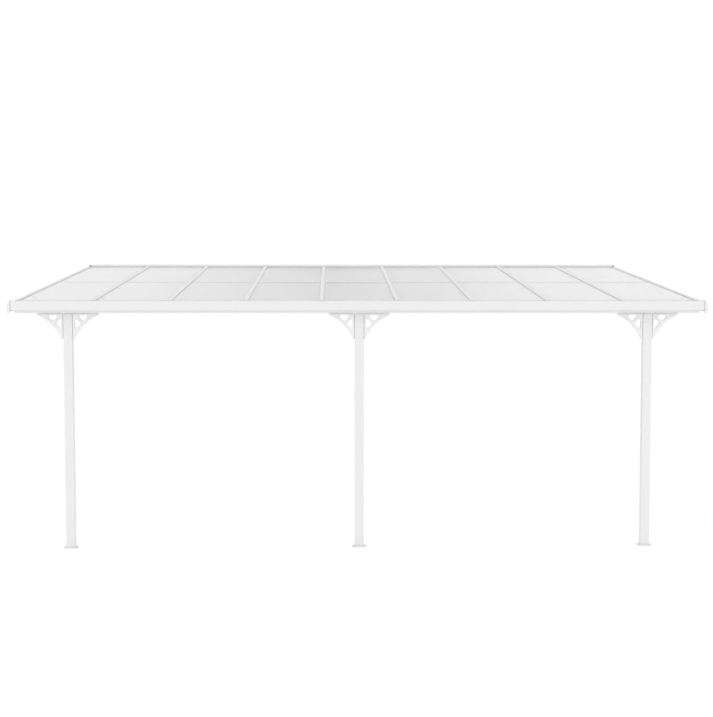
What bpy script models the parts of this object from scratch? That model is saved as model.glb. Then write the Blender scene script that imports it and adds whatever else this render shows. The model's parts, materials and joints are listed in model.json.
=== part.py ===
"""Lean-to patio cover: ten rafters and nine glazed bays between a wall profile and a front beam
on three posts, with a gutter ahead of the beam and a pair of arched corbels at each post.

Sizes are in metres. While the pieces are drawn, X runs along the wall, Y = 0 is the wall face
with the garden towards -Y, and Z = 0 is the ground. The parent empties then carry the cover so
that the world origin is the middle of the wall profile's back face.
"""

import math

import bmesh
import bpy

# Fit between touching pieces, and how far a cutter runs past what it cuts
GAP = 0.0003
CUTTER_REACH = 0.050

# Whole cover
BAY_COUNT = 9
BAY_MODULE = 0.740
PITCH = math.radians(6.8)
PROJECTION = 3.440
HEADROOM = 2.314

# Rafters, sizes measured from the glazing's top face
CAP_WIDTH = 0.043
CAP_RISE = 0.009
CAP_CHAMFER = 0.003
WEB_WIDTH = 0.020
SEAT_WIDTH = 0.042
SEAT_THICKNESS = 0.003
RAFTER_WIDTH = 0.036
RAFTER_DEPTH = 0.055
RAFTER_WALL = 0.0025
EAVE_OVERHANG = 0.018

# Glazing sheets and the strips on them
SHEET_THICKNESS = 0.008
SHEET_SIDE_ROOM = 0.003
SHEET_END_ROOM = 0.006
STRIP_PROUD = 0.003
STRIP_SIDE_ROOM = 0.002
EAVE_TRIM_LENGTH = 0.025
JOINT_STRIP_LENGTH = 0.032
JOINT_DROP = 0.040

# Wall profile
PLATE_THICKNESS = 0.004
HOOD_REACH = 0.040
HOOD_HEIGHT = 0.0215
HOOD_FALL = 0.002
PROFILE_WALL = 0.003
PLATE_DROP = 0.0275
PROFILE_INSET = 0.017

# Front beam
BEAM_HEIGHT = 0.065
BEAM_DEPTH = 0.070
BEAM_WALL = 0.003
BEAM_INSET = 0.0005

# Gutter
GUTTER_REACH = 0.140
GUTTER_RISE = 0.1175
GUTTER_DEPTH = 0.0925
GUTTER_BACK_DROP = 0.006
GUTTER_WALL = 0.0025
GUTTER_RADIUS = 0.012
GUTTER_LIP = 0.010
CONNECTOR_WIDTH = 0.026
CONNECTOR_PROUD = 0.001
CONNECTOR_WALL = 0.0045
CONNECTOR_SPACING = 1.490
TONGUE_LENGTH = 0.014
TONGUE_WALL = 0.0015
GUTTER_OVERRUN = 0.0085
CAP_FLANGE = 0.006
CAP_FLANGE_FRONT = 0.003
CAP_SEAM = 0.0012
CAP_OVERLAP = 0.003
FLANGE_THICKNESS = 0.010
PLUG_LENGTH = 0.012
HEAD_DEPTH = 0.105
HEAD_BULGE = 0.0335
HEAD_SWELL = 0.021
HEAD_SWELL_DEPTH = 0.060
OUTLET_RADIUS = 0.017
OUTLET_WALL = 0.003
OUTLET_DROP = 0.024
CAP_EAVE_ROOM = 0.004

# Posts and their base plates
POST_WIDTH = 0.087
POST_DEPTH = 0.060
POST_RADIUS = 0.006
POST_WALL = 0.003
POST_INSET = 0.509
POST_HEAD_THICKNESS = 0.004
BASE_WIDTH = 0.140
BASE_DEPTH = 0.090
BASE_LEAD = 0.0275
BASE_WELD = 0.003
BASE_THICKNESS = 0.006
BASE_RADIUS = 0.006
SPIGOT_HEIGHT = 0.060
SPIGOT_WALL = 0.003
BOLT_RADIUS = 0.0055
BOLT_EDGE_X = 0.015
BOLT_EDGE_Y = 0.018

# Corbels, drawn in a quarter plane: u away from the post, v down from the beam
CORBEL_LEG = 0.255
CORBEL_TIP = 0.019
CORBEL_ARC_RADIUS = 0.430
CORBEL_THICKNESS = 0.030
CORBEL_SETBACK = 0.004
NECK = 0.008
NECK_THICKNESS = 0.014
NECK_OVERLAP = 0.001
WINDOW_NEAR = 0.064
WINDOW_FAR = 0.142
WINDOW_TOP = 0.0215
WINDOW_SHOULDER = 0.043
WINDOW_POINT = 0.103
WINDOW_POINT_DEPTH = 0.076
WINDOW_BULGE = 0.0045
WINDOW_CORNER = 0.005
CORBEL_DIAGONAL = -135.0

# Smoothness of round stretches
CORNER_STEPS = 3
ARC_STEPS = 14
SWELL_STEPS = 6
BULGE_STEPS = 4
ROUND_SIDES = 16

# Derived positions
SLOPE = math.tan(PITCH)
POST_FRONT = -PROJECTION
POST_CENTRE = POST_FRONT + POST_DEPTH / 2
BASE_CENTRE = POST_FRONT - BASE_LEAD + BASE_DEPTH / 2
CORBEL_CENTRE = POST_FRONT + CORBEL_SETBACK + CORBEL_THICKNESS / 2
ROOF_HEIGHT = HEADROOM + BEAM_HEIGHT + (GAP + RAFTER_DEPTH) / math.cos(PITCH)
ROOF_HALF = BAY_COUNT * BAY_MODULE / 2 + CAP_WIDTH / 2
BEAM_HALF = ROOF_HALF - BEAM_INSET
GUTTER_HALF = BEAM_HALF + GUTTER_OVERRUN
POST_SPACING = BEAM_HALF - POST_INSET
PLANE_AT_WALL = ROOF_HEIGHT + PROJECTION * SLOPE
PLANE_AT_HOOD = PLANE_AT_WALL - HOOD_REACH * SLOPE
HOOD_BOTTOM = PLANE_AT_HOOD + (CAP_RISE + GAP) / math.cos(PITCH)
HOOD_TOP = HOOD_BOTTOM + HOOD_HEIGHT
PLATE_TOP = HOOD_TOP + HOOD_FALL
SEAT_AT_WALL = PLANE_AT_WALL - (RAFTER_DEPTH + GAP) / math.cos(PITCH)
PLATE_BOTTOM = SEAT_AT_WALL - PLATE_DROP
ORIGIN_HEIGHT = (PLATE_TOP + PLATE_BOTTOM) / 2
GUTTER_BACK = POST_FRONT - GAP
GUTTER_FRONT = POST_FRONT - GUTTER_REACH
GUTTER_TOP = HEADROOM + GUTTER_RISE
GUTTER_BOTTOM = GUTTER_TOP - GUTTER_DEPTH
GUTTER_BACK_TOP = HEADROOM + BEAM_HEIGHT - GUTTER_BACK_DROP


def clear_scene():
    """Remove every object that the opening file holds."""
    for old in list(bpy.data.objects):
        bpy.data.objects.remove(old, do_unlink=True)


def finish(name, colour, roughness, metallic):
    """A Principled material with the piece's own colour."""
    material = bpy.data.materials.new(name)
    material.use_nodes = True
    shader = material.node_tree.nodes["Principled BSDF"]
    shader.inputs["Base Color"].default_value = (*colour, 1.0)
    shader.inputs["Roughness"].default_value = roughness
    shader.inputs["Metallic"].default_value = metallic
    return material


def make_finishes():
    """The cover's finishes by name."""
    return {
        "powder_coat": finish("white_powder_coat", (0.86, 0.86, 0.86), 0.38, 0.0),
        "roof_coat": finish("roof_profile_coat", (0.80, 0.80, 0.80), 0.42, 0.0),
        "wall_coat": finish("wall_profile_coat", (0.66, 0.66, 0.66), 0.45, 0.0),
        "moulding": finish("white_moulding", (0.82, 0.82, 0.82), 0.50, 0.0),
        "glazing": finish("frosted_glazing", (0.84, 0.84, 0.84), 0.30, 0.0),
        "footing": finish("base_plate_coat", (0.78, 0.78, 0.78), 0.45, 0.0),
    }


def make_frame(name, parent, location, tilt=0.0):
    """An empty that carries pieces at a place and a tilt about X."""
    empty = bpy.data.objects.new(name, None)
    bpy.context.collection.objects.link(empty)
    empty.parent = parent
    empty.location = location
    empty.rotation_euler = (tilt, 0.0, 0.0)
    return empty


def arc(centre, radius, start, stop, steps):
    """Points of an arc from one angle to another, in degrees, both ends included."""
    points = []
    for step in range(steps + 1):
        angle = math.radians(start + (stop - start) * step / steps)
        points.append((centre[0] + radius * math.cos(angle), centre[1] + radius * math.sin(angle)))
    return points


def circle(centre, radius, sides=ROUND_SIDES):
    """Outline of a round hole or stub."""
    return arc(centre, radius, 0.0, 360.0 * (sides - 1) / sides, sides - 1)


def rounded_box(width, depth, radius, middle=0.0):
    """Outline of a rectangle with rounded corners, its middle set off along the second axis."""
    across = width / 2 - radius
    along = depth / 2 - radius
    corners = [(across, along, 0.0), (-across, along, 90.0), (-across, -along, 180.0), (across, -along, 270.0)]
    points = []
    for x, y, start in corners:
        points += arc((x, middle + y), radius, start, start + 90.0, CORNER_STEPS)
    return points


def to_axis(axis, along, first, second):
    """A point from its distance along an axis and its two outline coordinates."""
    if axis == "X":
        return (along, first, second)
    if axis == "Y":
        return (first, along, second)
    return (first, second, along)


def prism(outline, axis, start, stop):
    """Mesh of an outline swept straight along an axis, with its faces pointing out."""
    solid = bmesh.new()
    corners = [solid.verts.new(to_axis(axis, start, a, b)) for a, b in outline]
    face = solid.faces.new(corners)
    swept = bmesh.ops.extrude_face_region(solid, geom=[face])
    moved = [item for item in swept["geom"] if isinstance(item, bmesh.types.BMVert)]
    bmesh.ops.translate(solid, verts=moved, vec=to_axis(axis, stop - start, 0.0, 0.0))
    bmesh.ops.recalc_face_normals(solid, faces=solid.faces[:])
    mesh = bpy.data.meshes.new("prism")
    solid.to_mesh(mesh)
    solid.free()
    return mesh


def block(low, high):
    """Mesh of a box between two corners."""
    outline = [(low[0], low[1]), (high[0], low[1]), (high[0], high[1]), (low[0], high[1])]
    return prism(outline, "Z", low[2], high[2])


def boolean(base, tool, operation):
    """Mesh of one solid united with another, or cut by it."""
    carrier = bpy.data.objects.new("carrier", base)
    cutter = bpy.data.objects.new("cutter", tool)
    cutter.hide_render = True
    cutter.display_type = "WIRE"
    for helper in (carrier, cutter):
        bpy.context.collection.objects.link(helper)
    modifier = carrier.modifiers.new(operation.lower(), "BOOLEAN")
    modifier.operation = operation
    modifier.solver = "EXACT"
    modifier.object = cutter
    graph = bpy.context.evaluated_depsgraph_get()
    mesh = bpy.data.meshes.new_from_object(carrier.evaluated_get(graph))
    for helper in (carrier, cutter):
        bpy.data.objects.remove(helper, do_unlink=True)
    return mesh


def united(base, *tools):
    """Mesh of several overlapping solids fused into one."""
    for tool in tools:
        base = boolean(base, tool, "UNION")
    return base


def cut(base, *tools):
    """Mesh of a solid with other solids cut out of it."""
    for tool in tools:
        base = boolean(base, tool, "DIFFERENCE")
    return base


def place(name, mesh, material, parent, location=(0.0, 0.0, 0.0)):
    """A named piece with its material, carried by its parent."""
    own = mesh.copy()
    own.name = name
    own.materials.clear()
    own.materials.append(material)
    piece = bpy.data.objects.new(name, own)
    bpy.context.collection.objects.link(piece)
    piece.parent = parent
    piece.location = location
    return piece


def rafter_side(has_sheet):
    """Half of a rafter's outline from its foot to its top; without a sheet the side is straight."""
    body = RAFTER_WIDTH / 2
    foot = [(body, -RAFTER_DEPTH)]
    if not has_sheet:
        return foot + [(body, CAP_RISE - CAP_CHAMFER), (body - CAP_CHAMFER, CAP_RISE)]
    cap = CAP_WIDTH / 2
    web = WEB_WIDTH / 2
    seat = SEAT_WIDTH / 2
    seat_top = -SHEET_THICKNESS - GAP
    seat_bottom = seat_top - SEAT_THICKNESS
    return foot + [
        (body, seat_bottom), (seat, seat_bottom), (seat, seat_top), (web, seat_top), (web, GAP),
        (cap, GAP), (cap, CAP_RISE - CAP_CHAMFER), (cap - CAP_CHAMFER, CAP_RISE),
    ]


def rafter_mesh(sheet_left, sheet_right):
    """Roof bar: a cap over the sheets, a narrow web, a seat for the sheets and a hollow body."""
    left = [(-x, z) for x, z in reversed(rafter_side(sheet_left))]
    solid = prism(rafter_side(sheet_right) + left, "Y", -EAVE_OVERHANG, rafter_end())
    inner = RAFTER_WIDTH / 2 - RAFTER_WALL
    ceiling = -SHEET_THICKNESS - GAP - SEAT_THICKNESS - RAFTER_WALL
    hollow = block((-inner, -EAVE_OVERHANG - CUTTER_REACH, -RAFTER_DEPTH + RAFTER_WALL),
                   (inner, rafter_end() + CUTTER_REACH, ceiling))
    return cut(solid, hollow)


def rafter_end():
    """Distance up the slope to the rafter's square end, which seats on the wall plate."""
    run = PROJECTION - PLATE_THICKNESS - GAP - RAFTER_DEPTH * math.sin(PITCH)
    return run / math.cos(PITCH)


def panel_mesh():
    """One bay's glazing: two sheets on a joint strip near mid slope, with a trim along the eave."""
    half = BAY_MODULE / 2 - WEB_WIDTH / 2 - SHEET_SIDE_ROOM
    trim_half = BAY_MODULE / 2 - CAP_WIDTH / 2 - STRIP_SIDE_ROOM
    end = rafter_end() - SHEET_END_ROOM
    middle = (end - EAVE_OVERHANG) / 2 - JOINT_DROP
    low = -SHEET_THICKNESS - STRIP_PROUD
    sheets = block((-half, -EAVE_OVERHANG, -SHEET_THICKNESS), (half, end, 0.0))
    trim = block((-trim_half, -EAVE_OVERHANG - STRIP_PROUD, low),
                 (trim_half, -EAVE_OVERHANG + EAVE_TRIM_LENGTH, STRIP_PROUD))
    strip = block((-trim_half, middle - JOINT_STRIP_LENGTH / 2, low),
                  (trim_half, middle + JOINT_STRIP_LENGTH / 2, STRIP_PROUD))
    return united(sheets, trim, strip)


def wall_profile_mesh():
    """Extrusion on the wall: back plate, hood over the sheets' ends and a sloping rafter seat."""
    reach = HOOD_REACH
    wall = PROFILE_WALL
    plate = PLATE_THICKNESS
    outline = [
        (0.0, PLATE_BOTTOM), (0.0, PLATE_TOP), (-reach, HOOD_TOP), (-reach, HOOD_BOTTOM),
        (-reach + wall, HOOD_BOTTOM + wall * SLOPE), (-reach + wall, HOOD_TOP - wall),
        (-plate, PLATE_TOP - wall), (-plate, SEAT_AT_WALL - plate * SLOPE),
        (-reach + wall, SEAT_AT_WALL - (reach - wall) * SLOPE),
        (-reach + wall, SEAT_AT_WALL - (reach - wall) * SLOPE - wall),
        (-plate, SEAT_AT_WALL - plate * SLOPE - wall), (-plate, PLATE_BOTTOM),
    ]
    half = ROOF_HALF - PROFILE_INSET
    return prism(outline, "X", -half, half)


def beam_mesh():
    """Hollow front beam on the posts, its top at the roof's pitch for the rafters."""
    front = POST_FRONT
    back = POST_FRONT + BEAM_DEPTH
    top = HEADROOM + BEAM_HEIGHT
    outline = [(front, HEADROOM), (back, HEADROOM), (back, top + BEAM_DEPTH * SLOPE), (front, top)]
    inner_front = front + BEAM_WALL
    inner_back = back - BEAM_WALL
    inner = [
        (inner_front, HEADROOM + BEAM_WALL), (inner_back, HEADROOM + BEAM_WALL),
        (inner_back, top + (inner_back - front) * SLOPE - BEAM_WALL),
        (inner_front, top + BEAM_WALL * SLOPE - BEAM_WALL),
    ]
    solid = prism(outline, "X", -BEAM_HALF, BEAM_HALF)
    hollow = prism(inner, "X", -BEAM_HALF - CUTTER_REACH, BEAM_HALF + CUTTER_REACH)
    return cut(solid, hollow)


def trough(front, bottom, back, top, back_top, wall, radius, lip):
    """Outline of a gutter wall: lipped front, rounded front corner, floor and back."""
    centre = (front + radius, bottom + radius)
    outer = [(front + lip, top), (front, top)]
    outer += arc(centre, radius, 180.0, 270.0, CORNER_STEPS)
    outer += [(back, bottom), (back, back_top)]
    inner = [(back - wall, back_top), (back - wall, bottom + wall)]
    inner += arc(centre, radius - wall, 270.0, 180.0, CORNER_STEPS)
    inner += [(front + wall, top - wall), (front + lip, top - wall)]
    return outer + inner


def filled_trough(front, bottom, back, top, back_top, radius):
    """Outline of the gutter's whole cross-section, stepped down at the back under the eave."""
    centre = (front + radius, bottom + radius)
    step = POST_FRONT - EAVE_OVERHANG - STRIP_PROUD - CAP_EAVE_ROOM
    points = [(front, top)]
    points += arc(centre, radius, 180.0, 270.0, CORNER_STEPS)
    points += [(back, bottom), (back, back_top), (step, back_top), (step, top)]
    return points


def gutter_section_mesh(start, stop):
    """A straight length of gutter."""
    outline = trough(GUTTER_FRONT, GUTTER_BOTTOM, GUTTER_BACK, GUTTER_TOP, GUTTER_BACK_TOP,
                     GUTTER_WALL, GUTTER_RADIUS, GUTTER_LIP)
    return prism(outline, "X", start, stop)


def connector_mesh():
    """A band between two gutter lengths, with a tongue that lies inside both."""
    grow = CONNECTOR_PROUD
    band = trough(GUTTER_FRONT - grow, GUTTER_BOTTOM - grow, GUTTER_BACK, GUTTER_TOP + grow,
                  GUTTER_BACK_TOP, CONNECTOR_WALL, GUTTER_RADIUS + grow, GUTTER_LIP + grow)
    inset = GUTTER_WALL + GAP
    tongue = trough(GUTTER_FRONT + inset, GUTTER_BOTTOM + inset, GUTTER_BACK - inset,
                    GUTTER_TOP - inset, GUTTER_BACK_TOP, TONGUE_WALL, GUTTER_RADIUS - inset,
                    GUTTER_LIP - inset)
    half = CONNECTOR_WIDTH / 2
    reach = half + TONGUE_LENGTH
    return united(prism(band, "X", -half, half), prism(tongue, "X", -reach, reach))


def gutter_cap_mesh(side):
    """End cap: a plug in the gutter, a flange round its end and a rounded head with an outlet."""
    inset = GUTTER_WALL + GAP
    flange_inner = GUTTER_HALF + CAP_SEAM
    flange_outer = flange_inner + FLANGE_THICKNESS
    plug = filled_trough(GUTTER_FRONT + inset, GUTTER_BOTTOM + inset, GUTTER_BACK - inset,
                         GUTTER_TOP - inset, GUTTER_BACK_TOP, GUTTER_RADIUS - inset)
    flange = filled_trough(GUTTER_FRONT - CAP_FLANGE_FRONT, GUTTER_BOTTOM - CAP_FLANGE, GUTTER_BACK,
                           GUTTER_TOP + CAP_FLANGE, GUTTER_BACK_TOP, GUTTER_RADIUS + CAP_FLANGE)
    solid = united(
        prism(flange, "X", side * flange_inner, side * flange_outer),
        prism(plug, "X", side * (GUTTER_HALF - PLUG_LENGTH), side * (flange_inner + CAP_OVERLAP)),
        cap_head_mesh(side, flange_outer - CAP_OVERLAP, flange_inner + HEAD_BULGE),
    )
    centre = (side * (flange_inner + HEAD_BULGE - OUTLET_RADIUS), outlet_line())
    drop = GUTTER_BOTTOM - OUTLET_DROP
    stub = prism(circle(centre, OUTLET_RADIUS), "Z", drop, GUTTER_BOTTOM + OUTLET_WALL)
    bore = prism(circle(centre, OUTLET_RADIUS - OUTLET_WALL), "Z", drop - OUTLET_DROP, GUTTER_BOTTOM)
    return cut(united(solid, stub), bore)


def outlet_line():
    """Distance from the wall to the outlet's axis, just behind the gutter's front face."""
    return GUTTER_FRONT + OUTLET_RADIUS


def cap_head_mesh(side, inner, outer):
    """The cap's outer body, swelling from a narrow top to its full width lower down."""
    radius = (HEAD_SWELL ** 2 + HEAD_SWELL_DEPTH ** 2) / (2 * HEAD_SWELL)
    start = math.degrees(math.asin(HEAD_SWELL_DEPTH / radius))
    swell = arc((outer - radius, GUTTER_TOP - HEAD_SWELL_DEPTH), radius, start, 0.0, SWELL_STEPS)
    outline = [(inner, GUTTER_BOTTOM), (inner, GUTTER_TOP)] + swell + [(outer, GUTTER_BOTTOM)]
    mirrored = [(side * x, z) for x, z in outline]
    return prism(mirrored, "Y", GUTTER_FRONT, GUTTER_FRONT + HEAD_DEPTH)


def post_mesh():
    """Rectangular tube with a closed head and a narrower neck that meets the beam."""
    top = HEADROOM - NECK
    wall = 2 * POST_WALL
    outer = rounded_box(POST_WIDTH, POST_DEPTH, POST_RADIUS)
    inner = rounded_box(POST_WIDTH - wall, POST_DEPTH - wall, POST_RADIUS - POST_WALL)
    neck = rounded_box(POST_WIDTH - 2 * NECK, POST_DEPTH - 2 * NECK, POST_RADIUS)
    tube = prism(outer, "Z", BASE_THICKNESS + GAP, top)
    hollow = prism(inner, "Z", -CUTTER_REACH, top - POST_HEAD_THICKNESS)
    collar = prism(neck, "Z", top - NECK_OVERLAP, HEADROOM - GAP)
    return united(cut(tube, hollow), collar)


def base_plate_mesh():
    """Plate that leads the post, with four bolt holes and a spigot that stands inside the post."""
    middle = BASE_CENTRE - POST_CENTRE
    room = 2 * POST_WALL + 2 * GAP
    width = POST_WIDTH - room
    depth = POST_DEPTH - room
    plate = prism(rounded_box(BASE_WIDTH, BASE_DEPTH, BASE_RADIUS, middle), "Z", 0.0, BASE_THICKNESS)
    spigot = prism(rounded_box(width, depth, POST_RADIUS - POST_WALL), "Z",
                   BASE_THICKNESS - BASE_WELD, BASE_THICKNESS + SPIGOT_HEIGHT)
    well_x = width / 2 - SPIGOT_WALL
    well_y = depth / 2 - SPIGOT_WALL
    well = block((-well_x, -well_y, BASE_THICKNESS),
                 (well_x, well_y, BASE_THICKNESS + SPIGOT_HEIGHT + CUTTER_REACH))
    holes = []
    reach_x = BASE_WIDTH / 2 - BOLT_EDGE_X
    reach_y = BASE_DEPTH / 2 - BOLT_EDGE_Y
    for x in (-reach_x, reach_x):
        for y in (middle - reach_y, middle + reach_y):
            holes.append(prism(circle((x, y), BOLT_RADIUS), "Z", -CUTTER_REACH, CUTTER_REACH))
    return cut(united(plate, spigot), well, *holes)


def corbel_arc():
    """The concave edge, an arc from the beam's tip to the post's, alike about the diagonal."""
    spread = CORBEL_LEG + CORBEL_TIP
    squares = CORBEL_LEG ** 2 + CORBEL_TIP ** 2 - CORBEL_ARC_RADIUS ** 2
    centre = (spread + math.sqrt(spread ** 2 - 2 * squares)) / 2
    start = math.degrees(math.atan2(CORBEL_TIP - centre, CORBEL_LEG - centre))
    return arc((centre, centre), CORBEL_ARC_RADIUS, start, 2 * CORBEL_DIAGONAL - start, ARC_STEPS)


def corbel_window():
    """The pointed window under the beam: cut corners at the top and full sides to its point."""
    point = (WINDOW_POINT, WINDOW_POINT_DEPTH)
    corner = WINDOW_CORNER
    top = [(WINDOW_NEAR, WINDOW_TOP + corner), (WINDOW_NEAR + corner, WINDOW_TOP),
           (WINDOW_FAR - corner, WINDOW_TOP), (WINDOW_FAR, WINDOW_TOP + corner)]
    right = bulged((WINDOW_FAR, WINDOW_SHOULDER), point, WINDOW_BULGE)
    left = bulged(point, (WINDOW_NEAR, WINDOW_SHOULDER), WINDOW_BULGE)
    return top + right + left[1:]


def bulged(start, stop, bulge):
    """Points of a shallow curve that stands off its chord by the bulge, on the chord's right."""
    run = (stop[0] - start[0], stop[1] - start[1])
    length = math.hypot(*run)
    side = (run[1] / length, -run[0] / length)
    points = []
    for step in range(BULGE_STEPS + 1):
        share = step / BULGE_STEPS
        off = 4 * bulge * share * (1 - share)
        points.append((start[0] + run[0] * share + side[0] * off,
                       start[1] + run[1] * share + side[1] * off))
    return points


def corbel_mesh(side):
    """Arched corner piece with two pointed windows, on thin necks against beam and post."""
    half = CORBEL_THICKNESS / 2
    neck_half = NECK_THICKNESS / 2
    web = [(NECK, NECK), (CORBEL_LEG, NECK)] + corbel_arc() + [(NECK, CORBEL_LEG)]
    inner = NECK + NECK_OVERLAP
    neck = [(GAP, GAP), (CORBEL_LEG, GAP), (CORBEL_LEG, inner), (inner, inner),
            (inner, CORBEL_LEG), (GAP, CORBEL_LEG)]
    window = corbel_window()
    twin = [(v, u) for u, v in window]
    solid = united(prism(turned(web, side), "Y", -half, half),
                   prism(turned(neck, side), "Y", -neck_half, neck_half))
    return cut(solid, prism(turned(window, side), "Y", -CUTTER_REACH, CUTTER_REACH),
               prism(turned(twin, side), "Y", -CUTTER_REACH, CUTTER_REACH))


def turned(outline, side):
    """Corbel points in X and Z: u to the given side of the post, v downwards."""
    return [(side * u, -v) for u, v in outline]


def build_roof(finishes, ground):
    """Rafters and glazing in the roof's own sloping frame."""
    slope = make_frame("roof_slope", ground, (0.0, POST_FRONT, ROOF_HEIGHT), PITCH)
    for index in range(BAY_COUNT + 1):
        x = (index - BAY_COUNT / 2) * BAY_MODULE
        rafter = rafter_mesh(index > 0, index < BAY_COUNT)
        place(f"rafter_{index + 1:02d}", rafter, finishes["roof_coat"], slope, (x, 0.0, 0.0))
    panel = panel_mesh()
    for index in range(BAY_COUNT):
        x = (index - (BAY_COUNT - 1) / 2) * BAY_MODULE
        place(f"roof_panel_{index + 1}", panel, finishes["glazing"], slope, (x, 0.0, 0.0))


def build_gutter(finishes, ground):
    """Gutter lengths between the connectors, and the two end caps."""
    coat = finishes["powder_coat"]
    joints = [-CONNECTOR_SPACING, 0.0, CONNECTOR_SPACING]
    half = CONNECTOR_WIDTH / 2 + GAP
    starts = [-GUTTER_HALF] + [x + half for x in joints]
    stops = [x - half for x in joints] + [GUTTER_HALF]
    for index, (start, stop) in enumerate(zip(starts, stops), start=1):
        place(f"gutter_section_{index}", gutter_section_mesh(start, stop), coat, ground)
    connector = connector_mesh()
    for index, x in enumerate(joints, start=1):
        place(f"gutter_connector_{index}", connector, finishes["moulding"], ground, (x, 0.0, 0.0))
    place("gutter_cap_left", gutter_cap_mesh(-1), finishes["moulding"], ground)
    place("gutter_cap_right", gutter_cap_mesh(1), finishes["moulding"], ground)


def build_posts(finishes, ground):
    """Posts with their base plates and corbels."""
    post = post_mesh()
    base = base_plate_mesh()
    corbels = {-1: corbel_mesh(-1), 1: corbel_mesh(1)}
    sides = {-1: "left", 1: "right"}
    for name, x in (("left", -POST_SPACING), ("middle", 0.0), ("right", POST_SPACING)):
        place(f"post_{name}", post, finishes["powder_coat"], ground, (x, POST_CENTRE, 0.0))
        place(f"base_plate_{name}", base, finishes["footing"], ground, (x, POST_CENTRE, 0.0))
        for side, word in sides.items():
            edge = x + side * POST_WIDTH / 2
            place(f"corbel_{name}_post_{word}", corbels[side], finishes["moulding"], ground,
                  (edge, CORBEL_CENTRE, HEADROOM))


def main():
    """Build the whole cover."""
    clear_scene()
    finishes = make_finishes()
    ground = make_frame("ground", None, (0.0, 0.0, -ORIGIN_HEIGHT))
    place("wall_profile", wall_profile_mesh(), finishes["wall_coat"], ground)
    place("front_beam", beam_mesh(), finishes["powder_coat"], ground)
    build_roof(finishes, ground)
    build_gutter(finishes, ground)
    build_posts(finishes, ground)


main()
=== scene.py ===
"""Looks of a lean-to patio cover: its finishes, glazing, seals, plugs, fasteners and the studio.

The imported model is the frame. Each piece is drawn in metres on the frame's own axes: +X along the
wall to the right as seen from the garden, +Y into the wall and +Z up. What lies on the roof is
drawn on the slope: x along the wall, s up the slope from the posts' front and h square to it,
measured from the sheets' top face.
"""

import json
import logging
import math
from collections.abc import Callable, Mapping, Sequence
from dataclasses import dataclass
from enum import Enum
from functools import cache
from typing import Any

import bmesh
import bpy
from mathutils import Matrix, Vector

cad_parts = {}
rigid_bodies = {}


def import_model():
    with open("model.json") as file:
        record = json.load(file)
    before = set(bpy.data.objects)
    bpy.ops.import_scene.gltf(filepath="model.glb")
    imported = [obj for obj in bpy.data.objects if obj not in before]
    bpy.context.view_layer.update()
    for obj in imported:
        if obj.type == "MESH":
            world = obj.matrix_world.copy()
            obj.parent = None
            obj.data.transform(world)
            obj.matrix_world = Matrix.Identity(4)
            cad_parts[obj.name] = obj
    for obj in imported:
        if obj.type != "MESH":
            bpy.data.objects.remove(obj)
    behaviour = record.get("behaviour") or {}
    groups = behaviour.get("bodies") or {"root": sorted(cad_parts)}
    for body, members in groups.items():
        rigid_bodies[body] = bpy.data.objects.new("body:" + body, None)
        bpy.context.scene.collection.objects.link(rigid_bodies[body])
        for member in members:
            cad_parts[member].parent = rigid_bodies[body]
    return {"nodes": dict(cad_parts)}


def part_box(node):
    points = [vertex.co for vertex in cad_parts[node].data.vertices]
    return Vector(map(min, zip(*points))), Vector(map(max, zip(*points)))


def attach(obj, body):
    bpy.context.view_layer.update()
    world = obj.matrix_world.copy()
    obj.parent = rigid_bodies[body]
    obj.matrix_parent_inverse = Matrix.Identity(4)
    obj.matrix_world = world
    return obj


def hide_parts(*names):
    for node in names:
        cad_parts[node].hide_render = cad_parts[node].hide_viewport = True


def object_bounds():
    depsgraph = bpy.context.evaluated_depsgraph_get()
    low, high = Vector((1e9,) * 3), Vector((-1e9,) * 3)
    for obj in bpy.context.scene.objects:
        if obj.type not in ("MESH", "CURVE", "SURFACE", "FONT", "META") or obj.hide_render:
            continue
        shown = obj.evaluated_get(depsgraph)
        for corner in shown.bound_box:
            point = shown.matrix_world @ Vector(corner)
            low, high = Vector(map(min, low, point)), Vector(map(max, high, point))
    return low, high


for leftover in list(bpy.data.objects):
    bpy.data.objects.remove(leftover, do_unlink=True)
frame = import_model()
CAD_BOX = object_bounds()

log = logging.getLogger("patio_cover")

Colour = tuple[float, float, float]
Stretch = tuple[float, float, float]
Outline = Sequence[tuple[float, float]]
Stops = Sequence[tuple[float, float]]
Placing = Callable[[float, float, float], Vector]
Ring = Sequence[bmesh.types.BMVert]

WHITE = (1.0, 1.0, 1.0, 1.0)
POSTS = ("left", "middle", "right")
SIDES = ((-1, "left"), (1, "right"))
GAP = 0.0003
FINE_EDGE = 0.0003
WELD_REACH = 0.00001
SHARP_ANGLE = math.radians(38.0)
FLAT_ANGLE = math.radians(0.5)
SHEET_INDEX = 1.585


def grey(level: float) -> Colour:
    """Return the linear colour of a neutral grey.

    Args:
        level: The grey as a display shows it, from 0 to 255.

    Returns:
        The same linear value three times.
    """
    share = level / 255.0
    linear = share / 12.92 if share <= 0.04045 else ((share + 0.055) / 1.055) ** 2.4
    return (linear, linear, linear)


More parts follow.
